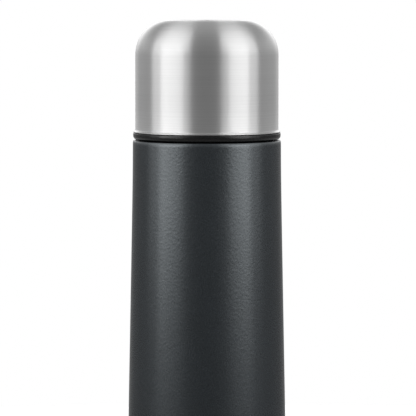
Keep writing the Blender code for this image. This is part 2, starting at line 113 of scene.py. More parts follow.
# The body's outline: a shoulder that bends less and less towards the side, a nearly straight
# stretch that eases into the taper, and a rounded foot.
SHOULDER_Z = COLLAR_LOW - GAP
SHOULDER_R = COLLAR_R + 0.1
SHOULDER_CORNER = 1.5  # radius of the wall's inner corner
SHOULDER_BEND = 0.45  # radius of the bend at the top
SHOULDER_OPENING = 40.0  # how many more times that radius the bend has at the side
SHOULDER_DELAY = 16  # the higher, the closer to the side the bend opens
SHOULDER_DEPTH = 6.0  # the side's own outline starts this far below the top
TAPER = 0.0194
TAPER_START = SHOULDER_Z - 12.8
TAPER_EASE = 12.0
FOOT_CORNER = 3.0
FOOT_R = radius("outer_shell")

# Threads: two starts, right-handed, fading in and out at their ends.
LEAD = 8.0
STARTS = 2
RIDGE_TURN = 0.8 * 2 * pi
RIDGE_FADE = 0.35  # part of the turn over which a ridge fades in or out, in radians
RIDGE_ROOT = 1.25  # half the width at the wall
RIDGE_CREST = 0.3  # half the width at the crest
HELD_RISE = 2.4  # how much higher the ridges of the cup and the stopper start
NECK_THREAD = MOUTH_Z - 14.0
COLLAR_THREAD = SLEEVE_TOP - 10.0
THREAD_ROW = 0.14  # height of the rows of faces that carry the ridges

# Surroundings that light the flask: greys by height, from straight down (0) to straight up (1),
# how strong they are in front of the flask and behind it, and a backdrop that adds to them
# straight behind it.
SURROUNDINGS = (
    (0.28, 0.22),
    (0.37, 0.16),
    (0.41, 0.1),
    (0.49, 0.09),
    (0.57, 0.48),
    (0.65, 0.46),
    (0.75, 0.2),
    (0.88, 0.28),
    (1.0, 0.36),
)
FRONT = 0.85
BACK = 2.0
BACKDROP = 2.0
BACKDROP_START = 0.8

# Softboxes, a tall one and a small bright one on each side: name, azimuth in degrees, width,
# bottom and top in metres, and radiance.
SOFTBOXES = (
    ("softbox_left", -61.8, 1.3, 0.2, 2.4, 1.05),
    ("softbox_left_core", -58.0, 0.66, 0.13, 0.37, 2.4),
    ("softbox_right", 55.3, 1.2, 0.2, 2.4, 1.05),
    ("softbox_right_core", 52.5, 0.56, 0.13, 0.37, 2.35),
)
SOFTBOX_DISTANCE = 0.9
SOFTBOX_LEAN = radians(8.5)  # their tops lean away from the camera's line of sight
LEAN_PIVOT = 0.25  # height in metres that they lean about


# Outlines -----------------------------------------------------------------------------------------


def arc(centre_r, centre_z, across, down, start_deg, end_deg, steps):
    """Outline points along part of an ellipse, without fillets."""
    points = []
    for step in range(steps + 1):
        angle = radians(start_deg + (end_deg - start_deg) * step / steps)
        points.append((centre_r + across * cos(angle), centre_z + down * sin(angle), 0.0))
    return points


def wall(r, start_z, end_z, row=THREAD_ROW):
    """A straight upright stretch with enough points to carry ridges."""
    count = round(abs(end_z - start_z) / row)
    return [(r, start_z + (end_z - start_z) * i / count, 0.0) for i in range(count + 1)]


def rounded(corners, closed):
    """Rounds each (radius, height, fillet) corner and returns plain (radius, height) points."""
    side_share = 0.45  # the most of a side that one fillet takes
    arc_step = radians(18)
    points = []
    count = len(corners)
    for i, (r, z, fillet) in enumerate(corners):
        if fillet == 0.0 or (not closed and i in (0, count - 1)):
            points.append((r, z))
            continue
        corner = Vector((r, z))
        before = Vector(corners[i - 1][:2]) - corner
        after = Vector(corners[(i + 1) % count][:2]) - corner
        room = side_share * min(before.length, after.length)
        support = min(SUPPORT, room * 0.1)
        before.normalize()
        after.normalize()
        half = acos(max(-1.0, min(1.0, before.dot(after)))) / 2
        reach = min(fillet / tan(half), room)
        size = reach * tan(half)
        centre = corner + (before + after).normalized() * size / sin(half)
        start = corner + before * reach
        end = corner + after * reach
        turn = pi - 2 * half
        steps = max(2, round(turn / arc_step))
        points.append(tuple(start + before * support))
        for step in range(steps + 1):
            share = step / steps
            from_start = (start - centre) * sin((1 - share) * turn)
            from_end = (end - centre) * sin(share * turn)
            points.append(tuple(centre + (from_start + from_end) / sin(turn)))
        points.append(tuple(end + after * support))
    return points


def smooth(x):
    """Eases from 0 to 1 as x goes from 0 to 1."""
    x = max(0.0, min(1.0, x))
    return x * x * (3 - 2 * x)


def ridge(angle, z, first_z):
    """Height of a thread's ridges at one place on its wall, from 0 at the wall to 1 on a crest."""
    tallest = 0.0
    for start in range(STARTS):
        phase = (angle - 2 * pi * start / STARTS) % (2 * pi)
        if phase > RIDGE_TURN:
            continue
        across = abs(z - first_z - LEAD * phase / (2 * pi))
        side = smooth((RIDGE_ROOT - across) / (RIDGE_ROOT - RIDGE_CREST))
        end = smooth(min(phase, RIDGE_TURN - phase) / RIDGE_FADE)
        tallest = max(tallest, side * end)
    return tallest


def thread(wall_r, height, first_z):
    """A shape function that raises ridges on the upright wall of one radius."""

    def shape(r, z, angle):
        if abs(r - wall_r) > 1e-6 or abs(z - first_z - LEAD / 2) > LEAD:
            return r, z
        return r + height * ridge(angle, z, first_z), z

    return shape


# Meshes -------------------------------------------------------------------------------------------


def new_object(name, bm, material):
    """Makes an object of a closed bmesh, with outward faces and smooth shading between creases."""
    bmesh.ops.recalc_face_normals(bm, faces=bm.faces)
    mesh = bpy.data.meshes.new(name)
    bm.to_mesh(mesh)
    bm.free()
    mesh.materials.append(material)
    mesh.shade_smooth()
    mesh.set_sharp_from_angle(angle=SHARP)
    obj = bpy.data.objects.new(name, mesh)
    bpy.context.scene.collection.objects.link(obj)
    return obj


def skin(bm, rings):
    """Adds the faces between each ring of vertices and the next."""
    for first, second in zip(rings, rings[1:]):
        for i in range(len(first)):
            j = (i + 1) % len(first)
            bm.faces.new(list(dict.fromkeys((first[i], first[j], second[j], second[i]))))


def turned(name, corners, material, shape=None, segments=AROUND, closed=True):
    """Turns an outline about the flask's axis. An open outline starts and ends on the axis."""
    bm = bmesh.new()
    rings = []
    for r, z in rounded(corners, closed):
        if r < 1e-6:
            rings.append([bm.verts.new((0.0, 0.0, z * MM))] * segments)
            continue
        ring = []
        for i in range(segments):
            angle = 2 * pi * i / segments
            place_r, place_z = shape(r, z, angle) if shape else (r, z)
            x, y = place_r * cos(angle) * MM, place_r * sin(angle) * MM
            ring.append(bm.verts.new((x, y, place_z * MM)))
        rings.append(ring)
    if closed:
        rings.append(rings[0])
    skin(bm, rings)
    return new_object(name, bm, material)


def prism(name, outline, bottom, top, material):
    """An upright prism over a plan of (x, y) points in millimetres."""
    bm = bmesh.new()
    rows = [[bm.verts.new((x * MM, y * MM, z * MM)) for x, y in outline] for z in (bottom, top)]
    skin(bm, rows)
    for row in rows:
        bm.faces.new(row)
    return new_object(name, bm, material)


def tube(name, path, wire, sides, material):
    """A round bar along a path of points in millimetres, with closed ends."""
    bm = bmesh.new()
    rings = []
    points = [Vector(point) for point in path]
    for i, point in enumerate(points):
        before = points[max(0, i - 1)]
        after = points[min(len(points) - 1, i + 1)]
        along = (after - before).normalized()
        outward = Vector((point.x, point.y, 0.0)).normalized()
        outward = (outward - along * outward.dot(along)).normalized()
        across = along.cross(outward)
        ring = []
        for side in range(sides):
            angle = 2 * pi * side / sides
            place = point + (outward * cos(angle) + across * sin(angle)) * wire
            ring.append(bm.verts.new(place * MM))
        rings.append(ring)
    skin(bm, rings)
    bm.faces.new(rings[0])
    bm.faces.new(rings[-1])
    return new_object(name, bm, material)


def sector_plan(inner, outer, start_deg, end_deg, corner):
    """Plan of part of a ring, with rounded corners, as (x, y) points in millimetres."""
    corner_steps, side_steps = 6, 24
    plan = []

    def polar(r, angle):
        return Vector((r * cos(angle), r * sin(angle)))

    def round_corner(r, middle, turn_deg):
        for step in range(corner_steps + 1):
            turn = radians(turn_deg + 90 / corner_steps * step)
            plan.append(polar(r, middle) + polar(corner, middle + turn))

    def sweep(r, first, last):
        for step in range(1, side_steps):
            plan.append(polar(r, first + (last - first) * step / side_steps))

    trim_out = corner / (outer - corner)
    trim_in = corner / (inner + corner)
    start, end = radians(start_deg), radians(end_deg)
    round_corner(outer - corner, end - trim_out, 0)
    round_corner(inner + corner, end - trim_in, 90)
    sweep(inner, end - trim_in, start + trim_in)
    round_corner(inner + corner, start + trim_in, 180)
    round_corner(outer - corner, start + trim_out, 270)
    sweep(outer, start + trim_out, end - trim_out)
    return plan


def combine(obj, tool, operation):
    """Applies an exact Boolean to obj and throws its tool away."""
    modifier = obj.modifiers.new("combine", "BOOLEAN")
    modifier.operation = operation
    modifier.object = tool
    graph = bpy.context.evaluated_depsgraph_get()
    mesh = bpy.data.meshes.new_from_object(obj.evaluated_get(graph))
    obj.modifiers.clear()
    obj.data = mesh
    bpy.data.objects.remove(tool)


def put(obj, body, slot, *nodes):
    """Hands a finished piece to the frame."""
    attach(obj, body)
    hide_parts(*nodes)


# Materials ----------------------------------------------------------------------------------------


def new_material(name, colour, roughness, metallic=0.0):
    material = bpy.data.materials.new(name)
    material.use_nodes = True
    shader = material.node_tree.nodes["Principled BSDF"]
    shader.inputs["Base Color"].default_value = (*colour, 1.0)
    shader.inputs["Roughness"].default_value = roughness
    shader.inputs["Metallic"].default_value = metallic
    return material, material.node_tree, shader


def add_node(tree, kind, sockets, **settings):
    """Adds a node. Sockets are set by name or number, to a value or to another node's output."""
    made = tree.nodes.new(kind)
    for key, value in settings.items():
        setattr(made, key, value)
    for key, value in sockets.items():
        if isinstance(value, bpy.types.NodeSocket):
            tree.links.new(value, made.inputs[key])
        else:
            made.inputs[key].default_value = value
    return made


def object_coordinates(tree):
    return tree.nodes.new("ShaderNodeTexCoord").outputs["Object"]


def vector_math(tree, operation, sockets, output="Vector"):
    return add_node(tree, "ShaderNodeVectorMath", sockets, operation=operation).outputs[output]


def noise(tree, vector, scale, detail=2.0, roughness=0.5):
    sockets = {"Vector": vector, "Scale": scale, "Detail": detail, "Roughness": roughness}
    return add_node(tree, "ShaderNodeTexNoise", sockets).outputs["Fac"]


def scaled_to(tree, value, low_value, high_value, start=0.3, end=0.7):
    """Maps a value from start..end, where most of a noise lies, to low_value..high_value."""
    sockets = {
        "Value": value,
        "From Min": start,
        "From Max": end,
        "To Min": low_value,
        "To Max": high_value,
    }
    return add_node(tree, "ShaderNodeMapRange", sockets).outputs["Result"]


def roughened(tree, shader, value, smoothest, roughest):
    """Varies the roughness between two values."""
    tree.links.new(scaled_to(tree, value, smoothest, roughest), shader.inputs["Roughness"])


def tinted(tree, shader, value, dark, light):
    """Varies the base colour between two tones."""
    ramp = tree.nodes.new("ShaderNodeValToRGB")
    ramp.color_ramp.elements[0].position = 0.3
    ramp.color_ramp.elements[0].color = (*dark, 1.0)
    ramp.color_ramp.elements[1].position = 0.7
    ramp.color_ramp.elements[1].color = (*light, 1.0)
    tree.links.new(value, ramp.inputs["Fac"])
    tree.links.new(ramp.outputs["Color"], shader.inputs["Base Color"])


def bumped(tree, shader, height, distance, strength, under=None):
    """Adds relief of a real depth in metres, over any earlier relief."""
    sockets = {"Height": height, "Distance": distance, "Strength": strength}
    if under is not None:
        sockets["Normal"] = under
    normal = add_node(tree, "ShaderNodeBump", sockets).outputs["Normal"]
    tree.links.new(normal, shader.inputs["Normal"])
    return normal


def tone(colour, factor):
    return tuple(channel * factor for channel in colour)


def brushed_steel(name, colour, roughness, anisotropy, line_width):
    """Steel brushed round the axis: fine rings, and highlights drawn out across them."""
    material, tree, shader = new_material(name, colour, roughness, 1.0)
    place = object_coordinates(tree)
    apart = add_node(tree, "ShaderNodeSeparateXYZ", {0: place})
    flat = vector_math(tree, "MULTIPLY", {0: place, 1: (1.0, 1.0, 0.0)})
    from_axis = vector_math(tree, "LENGTH", {0: flat}, "Value")
    drift = noise(tree, place, 30.0, 1.0)
    section = add_node(tree, "ShaderNodeCombineXYZ", {"X": from_axis, "Y": apart.outputs["Z"]})
    lines = 1 / (line_width * MM)
    stretched = vector_math(tree, "SCALE", {0: section.outputs[0], "Scale": lines})
    slid = vector_math(tree, "ADD", {0: stretched, 1: drift})
    rings = noise(tree, slid, 1.0, 3.0, 0.6)
    roughened(tree, shader, rings, roughness - 0.02, roughness + 0.02)
    tinted(tree, shader, rings, tone(colour, 0.95), tone(colour, 1.05))
    bumped(tree, shader, rings, 0.0000012, 0.5)
    shader.inputs["Anisotropic"].default_value = anisotropy
    shader.inputs["Anisotropic Rotation"].default_value = 0.25
    tangent = add_node(tree, "ShaderNodeTangent", {}, direction_type="RADIAL", axis="Z")
    tree.links.new(tangent.outputs["Tangent"], shader.inputs["Tangent"])
    return material


def powder_coat(name, colour, roughness):
    """Powder coat with a hammered skin: shallow cells about a millimetre across, and a grain."""
    material, tree, shader = new_material(name, colour, roughness)
    place = object_coordinates(tree)
    cells = noise(tree, place, 900.0, 1.5, 0.45)
    grain = noise(tree, place, 3200.0, 2.0, 0.5)
    clouds = noise(tree, place, 60.0, 3.0, 0.5)
    tinted(tree, shader, clouds, tone(colour, 0.9), tone(colour, 1.1))
    roughened(tree, shader, grain, roughness - 0.05, roughness + 0.06)
    under = bumped(tree, shader, cells, 0.00005, 0.7)
    bumped(tree, shader, grain, 0.000012, 0.5, under)
    shader.inputs["IOR"].default_value = 1.6
    shader.inputs["Specular IOR Level"].default_value = 0.9
    shader.inputs["Specular Tint"].default_value = (0.89, 0.96, 1.0, 1.0)
    return material


def moulded_plastic(name, colour, roughness):
    """Moulded plastic with a light spark-eroded grain."""
    material, tree, shader = new_material(name, colour, roughness)
    place = object_coordinates(tree)
    grain = noise(tree, place, 2600.0, 2.0, 0.6)
    patches = noise(tree, place, 90.0, 2.0, 0.5)
    tinted(tree, shader, patches, tone(colour, 0.88), tone(colour, 1.14))
    roughened(tree, shader, patches, roughness - 0.04, roughness + 0.06)
    bumped(tree, shader, grain, 0.000006, 0.6)
    shader.inputs["Specular IOR Level"].default_value = 0.6
    return material


def silicone(name, colour):
    """Translucent silicone rubber."""
    material, tree, shader = new_material(name, colour, 0.42)
    place = object_coordinates(tree)
    haze = noise(tree, place, 160.0, 3.0, 0.5)
    tinted(tree, shader, haze, tone(colour, 0.94), tone(colour, 1.04))
    roughened(tree, shader, haze, 0.36, 0.5)
    bumped(tree, shader, noise(tree, place, 1800.0, 1.0), 0.000004, 0.5)
    shader.inputs["Subsurface Weight"].default_value = 0.25
    shader.inputs["Subsurface Scale"].default_value = 0.002
    shader.inputs["Subsurface Radius"].default_value = (1.0, 0.9, 0.8)
    return material


def drawn_steel(name, colour, roughness):
    """Drawn or pressed sheet steel: faint draw lines along its length and a soft cloudiness."""
    material, tree, shader = new_material(name, colour, roughness, 1.0)
    place = object_coordinates(tree)
    lengthways = vector_math(tree, "MULTIPLY", {0: place, 1: (2200.0, 2200.0, 60.0)})
    lines = noise(tree, lengthways, 1.0, 3.0, 0.6)
    clouds = noise(tree, place, 80.0, 3.0, 0.5)
    tinted(tree, shader, clouds, tone(colour, 0.92), tone(colour, 1.05))
    roughened(tree, shader, clouds, roughness - 0.06, roughness + 0.08)
    bumped(tree, shader, lines, 0.000003, 0.4)
    return material


def creased_foil(name, colour):
    """Thin foil wrapped by hand, with shallow creases."""
    material, tree, shader = new_material(name, colour, 0.25, 1.0)
    place = object_coordinates(tree)
    cells = add_node(tree, "ShaderNodeTexVoronoi", {"Vector": place, "Scale": 70.0})
    ripples = noise(tree, place, 220.0, 3.0, 0.5)
    tinted(tree, shader, ripples, tone(colour, 0.85), tone(colour, 1.1))
    roughened(tree, shader, ripples, 0.18, 0.36)
    under = bumped(tree, shader, cells.outputs["Distance"], 0.0004, 0.5)
    bumped(tree, shader, ripples, 0.00006, 0.5, under)
    return material


def beaded_foam(name, colour):
    """Closed-cell foam with its beads showing."""
    material, tree, shader = new_material(name, colour, 0.9)
    place = object_coordinates(tree)
    cells = add_node(tree, "ShaderNodeTexVoronoi", {"Vector": place, "Scale": 700.0})
    beads = cells.outputs["Distance"]
    tinted(tree, shader, noise(tree, place, 400.0), tone(colour, 0.85), tone(colour, 1.03))
    roughened(tree, shader, beads, 0.85, 0.95)
    bumped(tree, shader, beads, 0.0002, 0.8)
    return material


def sintered(name, colour, roughness, metallic, grain_scale):
    """Dull pressed or fused stuff with a coarse grain."""
    material, tree, shader = new_material(name, colour, roughness, metallic)
    grain = noise(tree, object_coordinates(tree), grain_scale, 4.0, 0.6)
    tinted(tree, shader, grain, tone(colour, 0.6), tone(colour, 1.4))
    roughened(tree, shader, grain, roughness - 0.1, roughness + 0.1)
    bumped(tree, shader, grain, 0.00005, 0.7)
    return material


CUP_STEEL = brushed_steel("cup_brushed_steel", (0.69, 0.69, 0.69), 0.38, 0.95, 0.22)
FOOT_STEEL = brushed_steel("foot_brushed_steel", (0.58, 0.57, 0.56), 0.32, 0.6, 0.35)
LINER_METAL = drawn_steel("drawn_steel", (0.70, 0.69, 0.68), 0.24)
COAT = powder_coat("grey_powder_coat", (0.0055, 0.0075, 0.0095), 0.28)
BLACK = moulded_plastic("black_polypropylene", (0.003, 0.003, 0.0032), 0.24)
GREY = moulded_plastic("dark_grey_plastic", (0.055, 0.056, 0.06), 0.42)
BUTTON_PLASTIC = moulded_plastic("mid_grey_plastic", (0.16, 0.165, 0.175), 0.38)
SEAL = silicone("clear_silicone", (0.66, 0.67, 0.66))
COPPER = creased_foil("copper_foil_metal", (0.72, 0.36, 0.22))
FOAM = beaded_foam("white_foam", (0.80, 0.80, 0.76))
SOLDER = sintered("fused_solder_glass", (0.06, 0.08, 0.06), 0.3, 0.0, 900.0)
PELLET = sintered("getter_alloy", (0.16, 0.15, 0.14), 0.7, 0.5, 2500.0)


# Vessel -------------------------------------------------------------------------------------------


def body_radius(z):
    below = TAPER_START - z
    return SHOULDER_R + TAPER * (below + sqrt(below**2 + TAPER_EASE**2)) / 2


def body_line(start_z, end_z, inset, steps):
    """Outline points down or up the body's side, moved in from its outer surface."""
    points = []
    for step in range(steps + 1):
        z = start_z + (end_z - start_z) * step / steps
        points.append((body_radius(z) - inset, z, 0.0))
    return points


def shoulder():
    """Outline points over the shoulder, from its flat top to the side."""
    steps = 40
    r, z = 0.0, 0.0
    points = [(r, z)]
    for step in range(steps):
        upper = pi / 2 * (1 - step / steps) ** 2
        lower = pi / 2 * (1 - (step + 1) / steps) ** 2
        tilt = (upper + lower) / 2
        opening = SHOULDER_OPENING * (1 - 2 * tilt / pi) ** SHOULDER_DELAY
        bend = SHOULDER_BEND * (1 + opening)
        r += bend * sin(tilt) * (upper - lower)
        z -= bend * cos(tilt) * (upper - lower)
        points.append((r, z))
    start_r = body_radius(SHOULDER_Z + z) - r
    return [(start_r + along, SHOULDER_Z + drop, 0.0) for along, drop in points]


def make_body_shell():
    """Outer wall: bare steel neck, rolled shoulder, tapered side and turned-in foot."""
    corner_z = SHOULDER_Z - SHOULDER_CORNER
    corner_r = body_radius(corner_z) - SHOULDER_CORNER
    inner_corner = SHOULDER_CORNER - STEEL
    foot_z = STEEL + FOOT_CORNER
    foot_r = FOOT_R - FOOT_CORNER
    inner_foot = FOOT_CORNER - STEEL
    neck_top = MOUTH_Z - LINER_STEEL - GAP
    outline = [
        (NECK_R, neck_top, 0.1),
        (NECK_R, SHOULDER_Z + 1.0, 0.6),
        (NECK_R + 1.0, SHOULDER_Z, 0.6),
        *shoulder(),
        *body_line(SHOULDER_Z - SHOULDER_DEPTH, foot_z + SUPPORT, 0.0, 40),
        *arc(foot_r, foot_z, FOOT_CORNER, FOOT_CORNER, 0, -90, 8),
        *arc(foot_r, foot_z, inner_foot, inner_foot, -90, 0, 6),
        *body_line(foot_z + 1.0, corner_z - 1.0, STEEL, 12),
        *arc(corner_r, corner_z, inner_corner, inner_corner, 0, 90, 4),
        (NECK_R - STEEL, SHOULDER_Z - STEEL, 0.4),
        (NECK_R - STEEL, neck_top, 0.1),
    ]
    shell = turned("body_shell", outline, COAT)
    shell.data.materials.append(LINER_METAL)
    for face in shell.data.polygons:
        from_axis = hypot(face.center.x, face.center.y)
        if face.center.z > (SHOULDER_Z - 1.0) * MM and from_axis < (NECK_R + 2.0) * MM:
            face.material_index = 1
    put(shell, "flask", "powder_coat", "outer_shell")


def make_flask_liner():
    """Inner wall: rolled rim, threaded neck, shoulder, side and dished bottom."""
    inset = STEEL + 2.4
    neck_outer = MOUTH_R + LINER_STEEL
    thread_top, neck_low = MOUTH_Z - 4.0, MOUTH_Z - 19.0
    shoulder_top, shoulder_low = MOUTH_Z - 21.0, MOUTH_Z - 24.6
    shoulder_r = 28.2
    side_top = MOUTH_Z - 31.0
    bottom_z = low("inner_flask")
    corner = 7.0
    corner_z = bottom_z + corner
    corner_r = body_radius(corner_z + 1.6) - inset - corner

    def bowl(depth, threaded):
        """The liner's outline below its rim, at a depth into the sheet from its outer face."""
        neck_r = neck_outer - depth
        neck = wall(neck_r, thread_top, neck_low) if threaded else [(neck_r, neck_low, 0.0)]
        return [
            *neck,
            (neck_r, shoulder_top - depth, 2.0),
            (shoulder_r - depth, shoulder_low - depth, 4.0),
            *body_line(side_top, corner_z + 1.0, inset + depth, 20),
            *arc(corner_r, corner_z, corner - depth, corner - depth, 0, -90, 8),
            (8.0, bottom_z + 0.9 + depth, 0.0),
            (0.0, bottom_z + 1.2 + depth, 0.0),
        ]

    outline = [
        *reversed(bowl(LINER_STEEL, True)),
        (MOUTH_R, MOUTH_Z, 0.8),
        (NECK_R, MOUTH_Z, 0.35),
        (NECK_R, MOUTH_Z - LINER_STEEL, 0.1),
        (neck_outer, MOUTH_Z - LINER_STEEL, 0.2),
        *bowl(0.0, False),
    ]
    shape = thread(MOUTH_R, -1.1, NECK_THREAD)
    liner = turned("flask_liner", outline, LINER_METAL, shape, closed=False)
    put(liner, "flask", "bright_steel", "inner_flask")


def make_collar():
    """Black ring under the cup and its threaded sleeve round the neck."""
    bore = NECK_R + GAP
    edge_across, edge_down = 1.6, 1.9
    edge_r, edge_z = COLLAR_R - edge_across, COLLAR_LOW + edge_down
    outline = [
        (bore, SLEEVE_TOP, 0.25),
        (SLEEVE_R, SLEEVE_TOP, 0.4),
        *wall(SLEEVE_R, SLEEVE_TOP - 1.2, COLLAR_HIGH + 1.2),
        (SLEEVE_R, COLLAR_HIGH, 0.5),
        (COLLAR_R, COLLAR_HIGH, 0.3),
        *arc(edge_r, edge_z, edge_across, edge_down, 0, -80, 8),
        (edge_r - 0.1, COLLAR_LOW, 0.0),
        (bore + 1.1, COLLAR_LOW, 0.2),
        (bore, COLLAR_LOW + 1.1, 0.2),
    ]
    collar = turned("collar_ring", outline, BLACK, thread(SLEEVE_R, 1.2, COLLAR_THREAD))
    put(collar, "flask", "black_plastic", "neck_collar")


def make_foot_cover():
    """Pressed foot: a standing ring, and a raised centre with a shallow stiffening groove."""
    rim, rim_top = radius("base_cover"), high("base_cover")
    centre_z = 2.6
    groove_z = centre_z - 0.35
    outline = [
        (0.0, centre_z, 0.0),
        (8.0, centre_z, 0.3),
        (8.8, groove_z, 0.3),
        (16.0, groove_z, 0.3),
        (16.8, centre_z, 0.3),
        (26.6, centre_z, 0.8),
        (28.4, 0.0, 0.7),
        (32.2, 0.0, 0.6),
        (rim, 1.0, 0.7),
        (rim, rim_top, 0.1),
        (rim - STEEL, rim_top, 0.1),
        (rim - STEEL, 1.3, 0.5),
        (31.9, STEEL, 0.4),
        (28.8, STEEL, 0.4),
        (27.0, centre_z + STEEL, 0.6),
        (0.0, centre_z + STEEL, 0.0),
    ]
    cover = turned("foot_cover", outline, FOOT_STEEL, closed=False)
    put(cover, "flask", "brushed_steel", "base_cover")


# Cup ----------------------------------------------------------------------------------------------


def make_cup():
    """Domed cup whose lip turns out into a thin bead over its last millimetre."""
    across, down = 14.1, 15.5
    crown_r = CUP_R - across
    crown_z = TOTAL - down
    inner_r = CUP_R - STEEL
    outline = [
        (0.0, TOTAL, 0.0),
        (crown_r * 0.35, TOTAL, 0.0),
        (crown_r * 0.7, TOTAL, 0.0),
        *arc(crown_r, crown_z, across, down, 90, 0, 28),
        (CUP_R, LIP_Z + 12.0, 0.0),
        # The lip's upper face.
        (CUP_R, LIP_Z + 1.35, 0.0),
        (CUP_R + 0.07, LIP_Z + 0.98, 0.0),
        (CUP_R + 0.24, LIP_Z + 0.72, 0.0),
        (CUP_R + 0.5, LIP_Z + 0.56, 0.0),
        (LIP_R - 0.18, LIP_Z + 0.49, 0.0),
        # Its upright edge.
        (LIP_R - 0.05, LIP_Z + 0.44, 0.0),
        (LIP_R, LIP_Z + 0.36, 0.0),
        (LIP_R, LIP_Z + 0.1, 0.0),
        (LIP_R - 0.05, LIP_Z + 0.02, 0.0),
        # Its underside.
        (LIP_R - 0.16, LIP_Z, 0.0),
        (LIP_R - 0.8, LIP_Z + 0.04, 0.0),
        (LIP_R - 1.15, LIP_Z + 0.3, 0.0),
        (inner_r, LIP_Z + 1.3, 0.0),
        (inner_r, LIP_Z + 4.0, 0.0),
        *arc(crown_r, crown_z, across - STEEL, down - STEEL, 0, 90, 16),
        (0.0, TOTAL - STEEL, 0.0),
    ]
    cup = turned("steel_cup", outline, CUP_STEEL, segments=224, closed=False)
    put(cup, "cup", "brushed_steel", "cup_shell")


def make_cup_lining():
    """Moulded lining, with its foot flange and the cup's thread."""
    bottom, top = low("cup_liner"), high("cup_liner")
    flange = radius("cup_liner")
    thickness = 1.3
    outer = LINER_BORE + thickness
    across, down = 13.0, 16.0
    crown_r = outer - across
    crown_z = top - down
    outline = [
        (0.0, top, 0.0),
        *arc(crown_r, crown_z, across, down, 90, 0, 16),
        (outer, bottom + thickness, 0.3),
        (flange, bottom + thickness, 0.3),
        (flange, bottom, 0.3),
        (LINER_BORE, bottom, 0.4),
        *wall(LINER_BORE, bottom + 1.2, bottom + 12.6),
        *arc(crown_r, crown_z, across - thickness, down - thickness, 0, 90, 14),
        (0.0, top - thickness, 0.0),
    ]
    shape = thread(LINER_BORE, -1.2, COLLAR_THREAD + HELD_RISE)
    lining = turned("cup_lining", outline, BLACK, shape, closed=False)
    put(lining, "cup", "black_plastic", "cup_liner")


def make_cup_seal():
    """Flat silicone ring under the lining, with soft edges."""
    inner, outer = bore_of("cup_gasket"), radius("cup_gasket")
    bottom, top = low("cup_gasket"), high("cup_gasket")
    fillet = 0.35
    outline = [
        (inner, top, fillet),
        (inner, bottom, fillet),
        (outer, bottom, fillet),
        (outer, top, fillet),
    ]
    put(turned("cup_seal_ring", outline, SEAL), "cup_seal", "clear_silicone", "cup_gasket")


# Stopper ------------------------------------------------------------------------------------------


def make_stopper_plug():
    """Threaded plug with its pouring tube and flange."""
    bottom, top = low("stopper_housing"), high("stopper_housing")
    flange_r = radius("stopper_housing")
    flange_z = top - 1.8
    floor_z = bottom + 2.0
    tube_outer = TUBE_R + 1.4
    tube_top = low("stem_guide") - GAP
    chamfer = 1.2
    outline = [
        (TUBE_R, tube_top, 0.3),
        (TUBE_R, bottom, 0.6),
        (HOUSING_R - chamfer, bottom, 0.5),
        (HOUSING_R, bottom + chamfer, 0.5),
        *wall(HOUSING_R, bottom + 13.5, flange_z - 3.5),
        (HOUSING_R, flange_z, 0.5),
        (flange_r, flange_z, 0.4),
        (flange_r, top, 0.4),
        (HOUSING_BORE, top, 0.4),
        (HOUSING_BORE, floor_z, 0.6),
        (tube_outer, floor_z, 0.5),
        (tube_outer, tube_top, 0.3),
    ]
    shape = thread(HOUSING_R, 1.2, NECK_THREAD + HELD_RISE)
    plug = turned("stopper_plug", outline, BLACK, shape)
    put(plug, "stopper", "black_plastic", "stopper_housing")


def make_stopper_seal():
    """Rounded silicone ring under the stopper's flange."""
    inner, outer = bore_of("stopper_gasket"), radius("stopper_gasket")
    bottom, top = low("stopper_gasket"), high("stopper_gasket")
    bulge = 0.3
    outline = [
        (inner, top, 0.2),
        (inner, bottom, 0.3),
        (outer - bulge, bottom, 0.3),
        (outer, (bottom + top) / 2, 0.4),
        (outer - bulge, top, 0.3),
    ]
    ring = turned("stopper_seal_ring", outline, SEAL)
    put(ring, "stopper_seal", "clear_silicone", "stopper_gasket")


def make_guide_lid():
    """Lid over the pouring tube, with a hub for the stem and four flow windows."""
    bottom, hub_top = low("stem_guide"), high("stem_guide")
    top = bottom + 1.6
    rim = radius("stem_guide")
    bore = STEM_R + GAP
    hub_r = 6.2
    window_inner, window_half, window_corner = 6.35, 33, 0.6
    outline = [
        (bore, hub_top, 0.2),
        (bore, bottom, 0.2),
        (rim, bottom, 0.3),
        (rim, top, 0.3),
        (hub_r, top, 0.3),
        (hub_r, hub_top, 0.2),
    ]
    lid = turned("guide_lid", outline, GREY)
    for middle in (45, 135, 225, 315):
        start, end = middle - window_half, middle + window_half
        plan = sector_plan(window_inner, TUBE_R, start, end, window_corner)
        combine(lid, prism("window", plan, bottom - CUT_PAST, top + CUT_PAST, GREY), "DIFFERENCE")
    put(lid, "stopper", "grey_plastic", "stem_guide")


